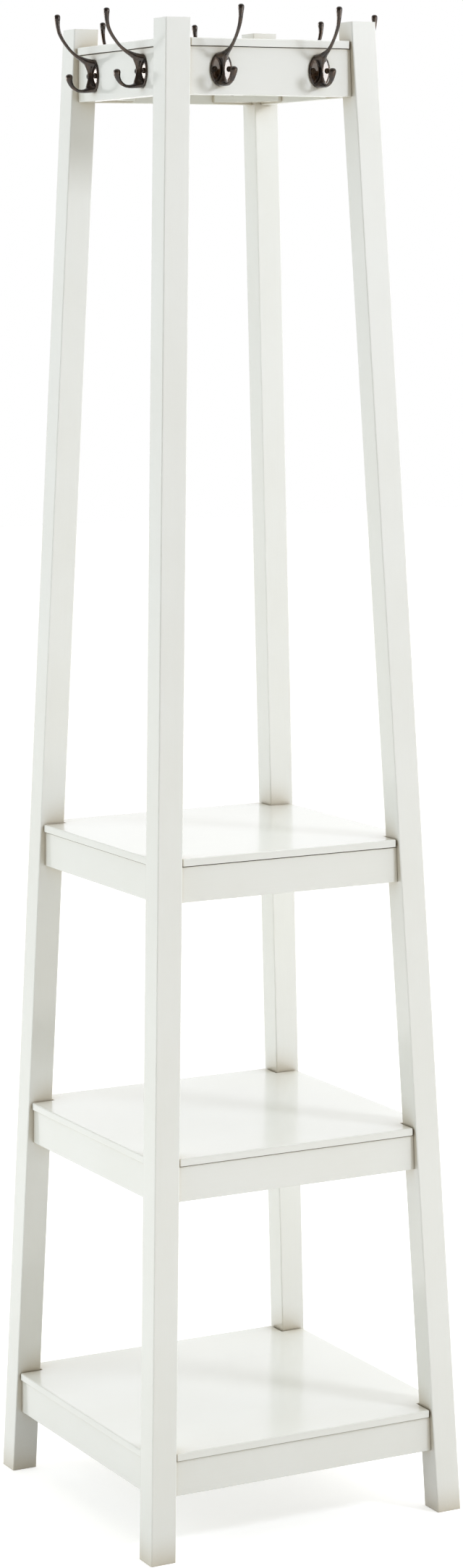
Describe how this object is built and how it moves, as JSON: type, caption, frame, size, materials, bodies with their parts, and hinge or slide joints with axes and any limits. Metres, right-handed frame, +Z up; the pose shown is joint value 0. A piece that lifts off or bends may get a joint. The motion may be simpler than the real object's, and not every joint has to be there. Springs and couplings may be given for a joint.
{
  "type": "coat rack",
  "caption": "Tapered free-standing coat tower: leaning square legs joined by a railed top frame with double-arm hooks on every side and open notched shelves below.",
  "frame": {"origin": "centre of the footprint at floor level", "axes": "+Z up, -Y towards the front side, +X to the right seen from the front; the four sides are alike"},
  "size_m": [0.42, 0.42, 1.7938],
  "materials": {
    "white_paint": "satin off-white paint",
    "bronze": "dark oil-rubbed bronze",
    "bronze_screw": "dark bronze",
    "zinc_steel": "zinc plated"
  },
  "bodies": {
    "root": {"leg_back_right": "white_paint", "leg_back_left": "white_paint", "leg_front_left": "white_paint", "leg_front_right": "white_paint", "top_board": "white_paint", "top_rail_front": "white_paint", "top_rail_right": "white_paint", "top_rail_back": "white_paint", "top_rail_left": "white_paint", "top_block_back_right": "white_paint", "top_block_back_left": "white_paint", "top_block_front_left": "white_paint", "top_block_front_right": "white_paint", "upper_shelf_board": "white_paint", "upper_apron_front": "white_paint", "upper_apron_right": "white_paint", "upper_apron_back": "white_paint", "upper_apron_left": "white_paint", "upper_block_back_right": "white_paint", "upper_block_back_left": "white_paint", "upper_block_front_left": "white_paint", "upper_block_front_right": "white_paint", "middle_shelf_board": "white_paint", "middle_apron_front": "white_paint", "middle_apron_right": "white_paint", "middle_apron_back": "white_paint", "middle_apron_left": "white_paint", "middle_block_back_right": "white_paint", "middle_block_back_left": "white_paint", "middle_block_front_left": "white_paint", "middle_block_front_right": "white_paint", "lower_shelf_board": "white_paint", "lower_apron_front": "white_paint", "lower_apron_right": "white_paint", "lower_apron_back": "white_paint", "lower_apron_left": "white_paint", "lower_block_back_right": "white_paint", "lower_block_back_left": "white_paint", "lower_block_front_left": "white_paint", "lower_block_front_right": "white_paint", "hook_front_left": "bronze", "hook_front_right": "bronze", "hook_right_front": "bronze", "hook_right_back": "bronze", "hook_back_right": "bronze", "hook_back_left": "bronze", "hook_left_back": "bronze", "hook_left_front": "bronze", "hook_screws": "bronze_screw", "leg_bolts": "zinc_steel", "leg_bolt_washers": "zinc_steel", "leg_bolt_nuts": "zinc_steel", "block_screws": "zinc_steel", "board_screws": "zinc_steel"}
  },
  "joints": []
}
